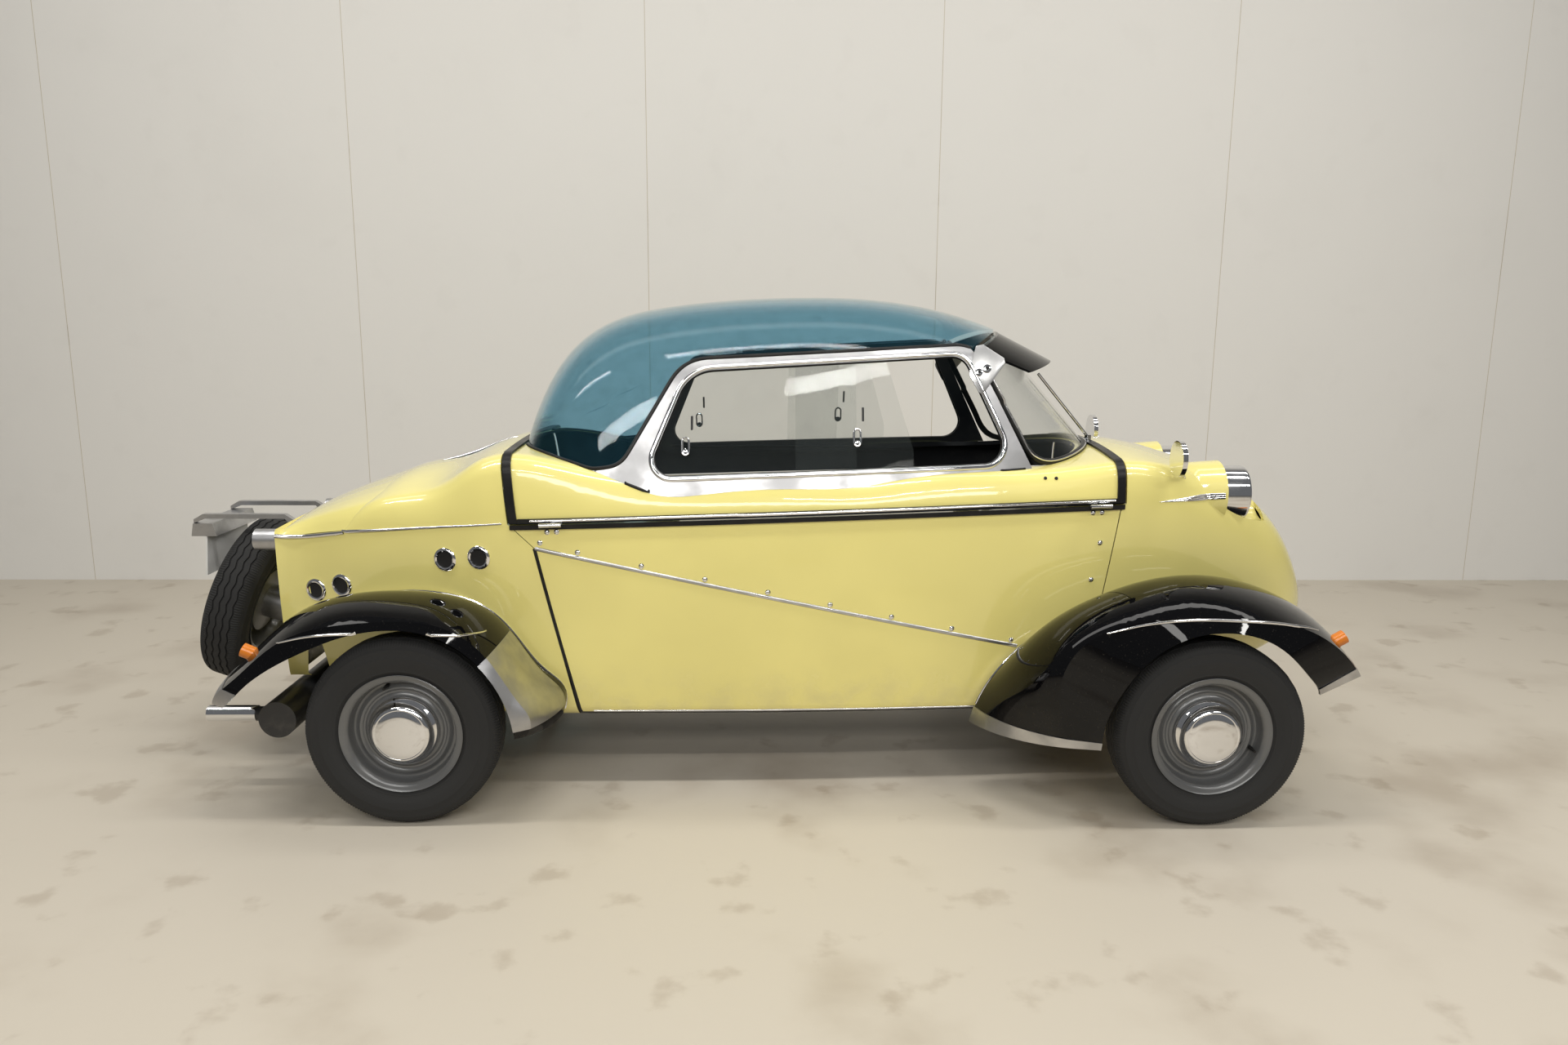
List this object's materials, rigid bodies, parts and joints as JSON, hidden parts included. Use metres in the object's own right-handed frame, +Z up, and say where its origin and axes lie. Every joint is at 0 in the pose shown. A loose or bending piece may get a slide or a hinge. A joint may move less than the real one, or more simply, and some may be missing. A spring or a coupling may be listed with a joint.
{
  "type": "bubble car",
  "caption": "Small bubble car with a tandem cabin, a side-hinged tinted canopy, black mudguards, steered front wheels and a spare wheel on its tail.",
  "frame": {"origin": "on the floor, midway along the car and on its centre plane", "axes": "+X forward, +Y to the car's left, +Z up"},
  "size_m": [3.02, 1.2844, 1.237],
  "materials": {
    "yellow_paint": "gloss",
    "black_paint": "gloss",
    "tinted_dome": "gloss, blue-green tint",
    "clear_screen": "gloss",
    "smoked_visor": "gloss",
    "polished_aluminium": "polished",
    "chrome_trim": "polished",
    "black_rubber": "satin",
    "tyre_rubber": "matt",
    "wheel_grey": "satin",
    "chassis_black": "satin",
    "bare_steel": "satin",
    "engine_metal": "cast",
    "seat_cloth": "woven",
    "cabin_black": "satin",
    "amber_lens": "gloss",
    "red_lens": "gloss",
    "plate_white": "satin"
  },
  "bodies": {
    "chassis": {"floor_pan": "chassis_black", "side_panel_left": "yellow_paint", "side_panel_right": "yellow_paint", "front_bulkhead": "cabin_black", "rear_bulkhead": "cabin_black", "nose_shell": "yellow_paint", "tail_shell": "yellow_paint", "belt_trims": "chrome_trim", "front_wings": "black_paint", "rear_wings": "black_paint", "wing_trims": "polished_aluminium", "indicators": "amber_lens", "tyre_spare": "tyre_rubber", "rim_spare": "wheel_grey", "front_axle": "chassis_black", "rear_axle": "chassis_black", "chassis_frame": "chassis_black", "engine_block": "engine_metal", "exhaust": "chrome_trim", "driver_cushion": "seat_cloth", "rear_cushion": "seat_cloth", "seat_stands": "cabin_black", "driver_backrest": "seat_cloth", "rear_backrest": "seat_cloth", "dashboard": "cabin_black", "steering_column": "chassis_black", "headlamps": "chrome_trim", "tail_lamps": "polished_aluminium", "mirrors": "chrome_trim", "spare_carrier": "polished_aluminium", "blank_plate": "plate_white", "hinge_knuckles": "chrome_trim"},
    "canopy": {"window_frames": "polished_aluminium", "dome": "tinted_dome", "windscreen": "clear_screen", "canopy_shell": "yellow_paint", "canopy_seals": "black_rubber", "side_glass": "clear_screen", "sun_visor": "smoked_visor", "wiper": "chrome_trim", "hinge_leaves": "chrome_trim"},
    "steering": {"steering_bar": "cabin_black"},
    "knuckle_left": {"knuckle_left": "chassis_black"},
    "knuckle_right": {"knuckle_right": "chassis_black"},
    "wheel_front_left": {"tyre_front_left": "tyre_rubber", "rim_front_left": "wheel_grey"},
    "wheel_front_right": {"tyre_front_right": "tyre_rubber", "rim_front_right": "wheel_grey"},
    "wheel_rear_left": {"tyre_rear_left": "tyre_rubber", "rim_rear_left": "wheel_grey"},
    "wheel_rear_right": {"tyre_rear_right": "tyre_rubber", "rim_rear_right": "wheel_grey"}
  },
  "joints": [
    {"name": "canopy_hinge", "type": "hinge", "parent": "chassis", "child": "canopy", "pos_m": [-0.508, -0.418, 0.69337], "axis": [0.9991, 0.0269, 0.0318], "range_deg": [0, 80]},
    {"name": "steer_left", "type": "hinge", "parent": "chassis", "child": "knuckle_left", "pos_m": [1.05, 0.462, 0.228], "axis": [0, 0, 1], "range_deg": [-26, 26]},
    {"name": "steer_right", "type": "hinge", "parent": "chassis", "child": "knuckle_right", "pos_m": [1.05, -0.462, 0.228], "axis": [0, 0, 1], "range_deg": [-26, 26]},
    {"name": "steer_bar", "type": "hinge", "parent": "chassis", "child": "steering", "pos_m": [0.47, 0, 0.66], "axis": [-0.66, 0, 0.7512], "range_deg": [-26, 26]},
    {"name": "spin_front_left", "type": "hinge", "parent": "knuckle_left", "child": "wheel_front_left", "pos_m": [1.05, 0.555, 0.228], "axis": [0, 1, 0], "continuous": true},
    {"name": "spin_front_right", "type": "hinge", "parent": "knuckle_right", "child": "wheel_front_right", "pos_m": [1.05, -0.555, 0.228], "axis": [0, 1, 0], "continuous": true},
    {"name": "spin_rear_left", "type": "hinge", "parent": "chassis", "child": "wheel_rear_left", "pos_m": [-0.84, 0.52, 0.228], "axis": [0, 1, 0], "continuous": true},
    {"name": "spin_rear_right", "type": "hinge", "parent": "chassis", "child": "wheel_rear_right", "pos_m": [-0.84, -0.52, 0.228], "axis": [0, 1, 0], "continuous": true}
  ],
  "couplings": [
    {"joint": "steer_right", "follows": "steer_left", "ratio": 1},
    {"joint": "steer_bar", "follows": "steer_left", "ratio": 1}
  ]
}
